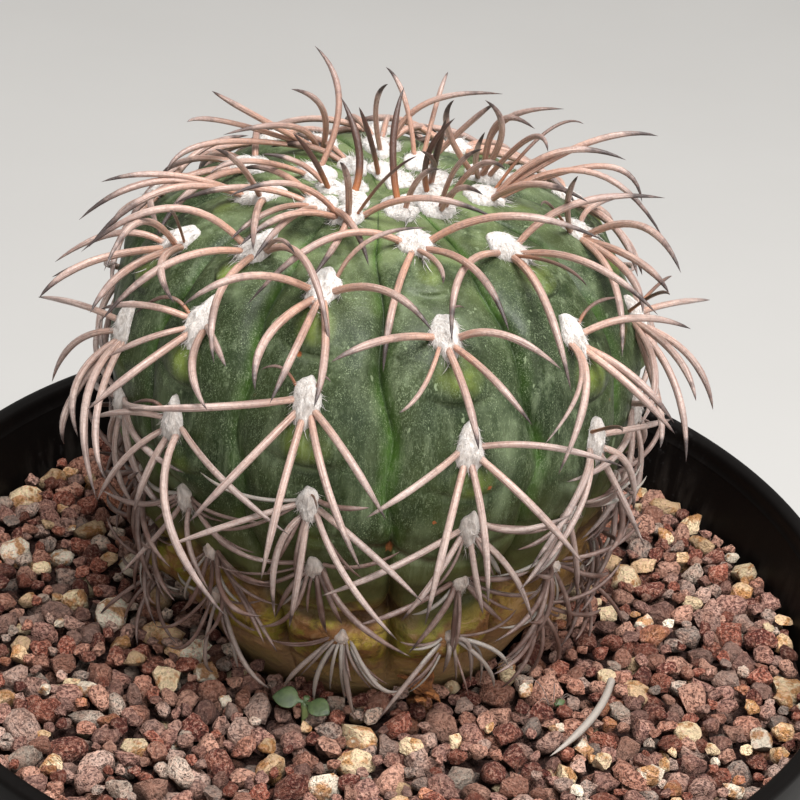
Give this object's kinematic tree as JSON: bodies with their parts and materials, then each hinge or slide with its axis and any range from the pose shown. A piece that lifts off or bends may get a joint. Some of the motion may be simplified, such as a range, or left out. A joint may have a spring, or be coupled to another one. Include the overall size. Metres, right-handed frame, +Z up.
{
  "type": "potted gymnocalycium cactus",
  "caption": "Globular ribbed cactus with woolly areoles and long curved spines, in a round black nursery pot dressed with lava gravel.",
  "frame": {"origin": "centre of the pot's underside, on the surface that it stands on", "axes": "+Z up; the front of the plant faces -Y and its right side, seen from the front, is +X"},
  "size_m": [0.2, 0.2, 0.2312],
  "materials": {
    "pot": "moulded black nursery-pot plastic with a soft sheen and fine scuffs",
    "growing_mix": "dark gritty potting mix",
    "gravel": "rough porous red-brown lava with pale pumice",
    "cactus": "waxy grey-green skin, white wool areoles, horny pink-grey spines with dark tips",
    "seedling": "soft matte leaf",
    "dry_spine": "dry horny grey-beige"
  },
  "bodies": {
    "root": {"pot": "pot", "growing_mix": "growing_mix", "gravel_dressing": "gravel", "cactus": "cactus", "weed_seedling": "seedling", "fallen_spine": "dry_spine"}
  },
  "joints": []
}
